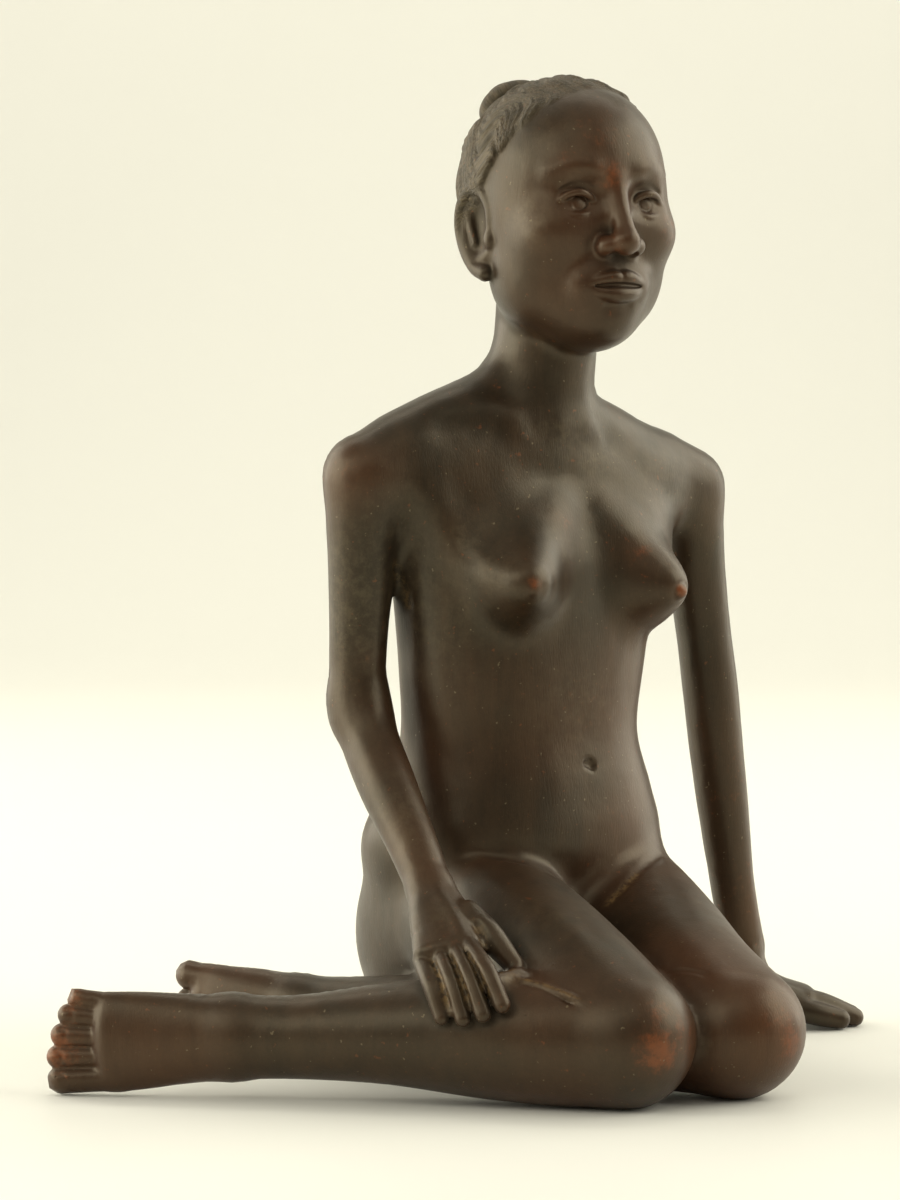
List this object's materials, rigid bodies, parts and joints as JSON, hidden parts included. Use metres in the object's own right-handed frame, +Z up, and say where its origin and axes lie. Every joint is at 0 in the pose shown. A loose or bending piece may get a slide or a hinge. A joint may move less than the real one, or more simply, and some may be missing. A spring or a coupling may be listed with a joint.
{
  "type": "seated female figure carving",
  "caption": "Carved dark wood figure of a seated nude woman, legs folded to one side, one hand on the ground, hair drawn back to a knot.",
  "frame": {"origin": "centre of the bounding box's underside, on the surface that the figure sits on", "axes": "+Z up, -Y the way her torso and knees face, +X to her left"},
  "size_m": [0.2376, 0.1454, 0.2514],
  "materials": {
    "dark_wood": "dark brown hardwood, hand carved and rubbed to a soft polish, worn red-brown on knees, toes and brow"
  },
  "bodies": {
    "root": {"figure": "dark_wood"}
  },
  "joints": []
}
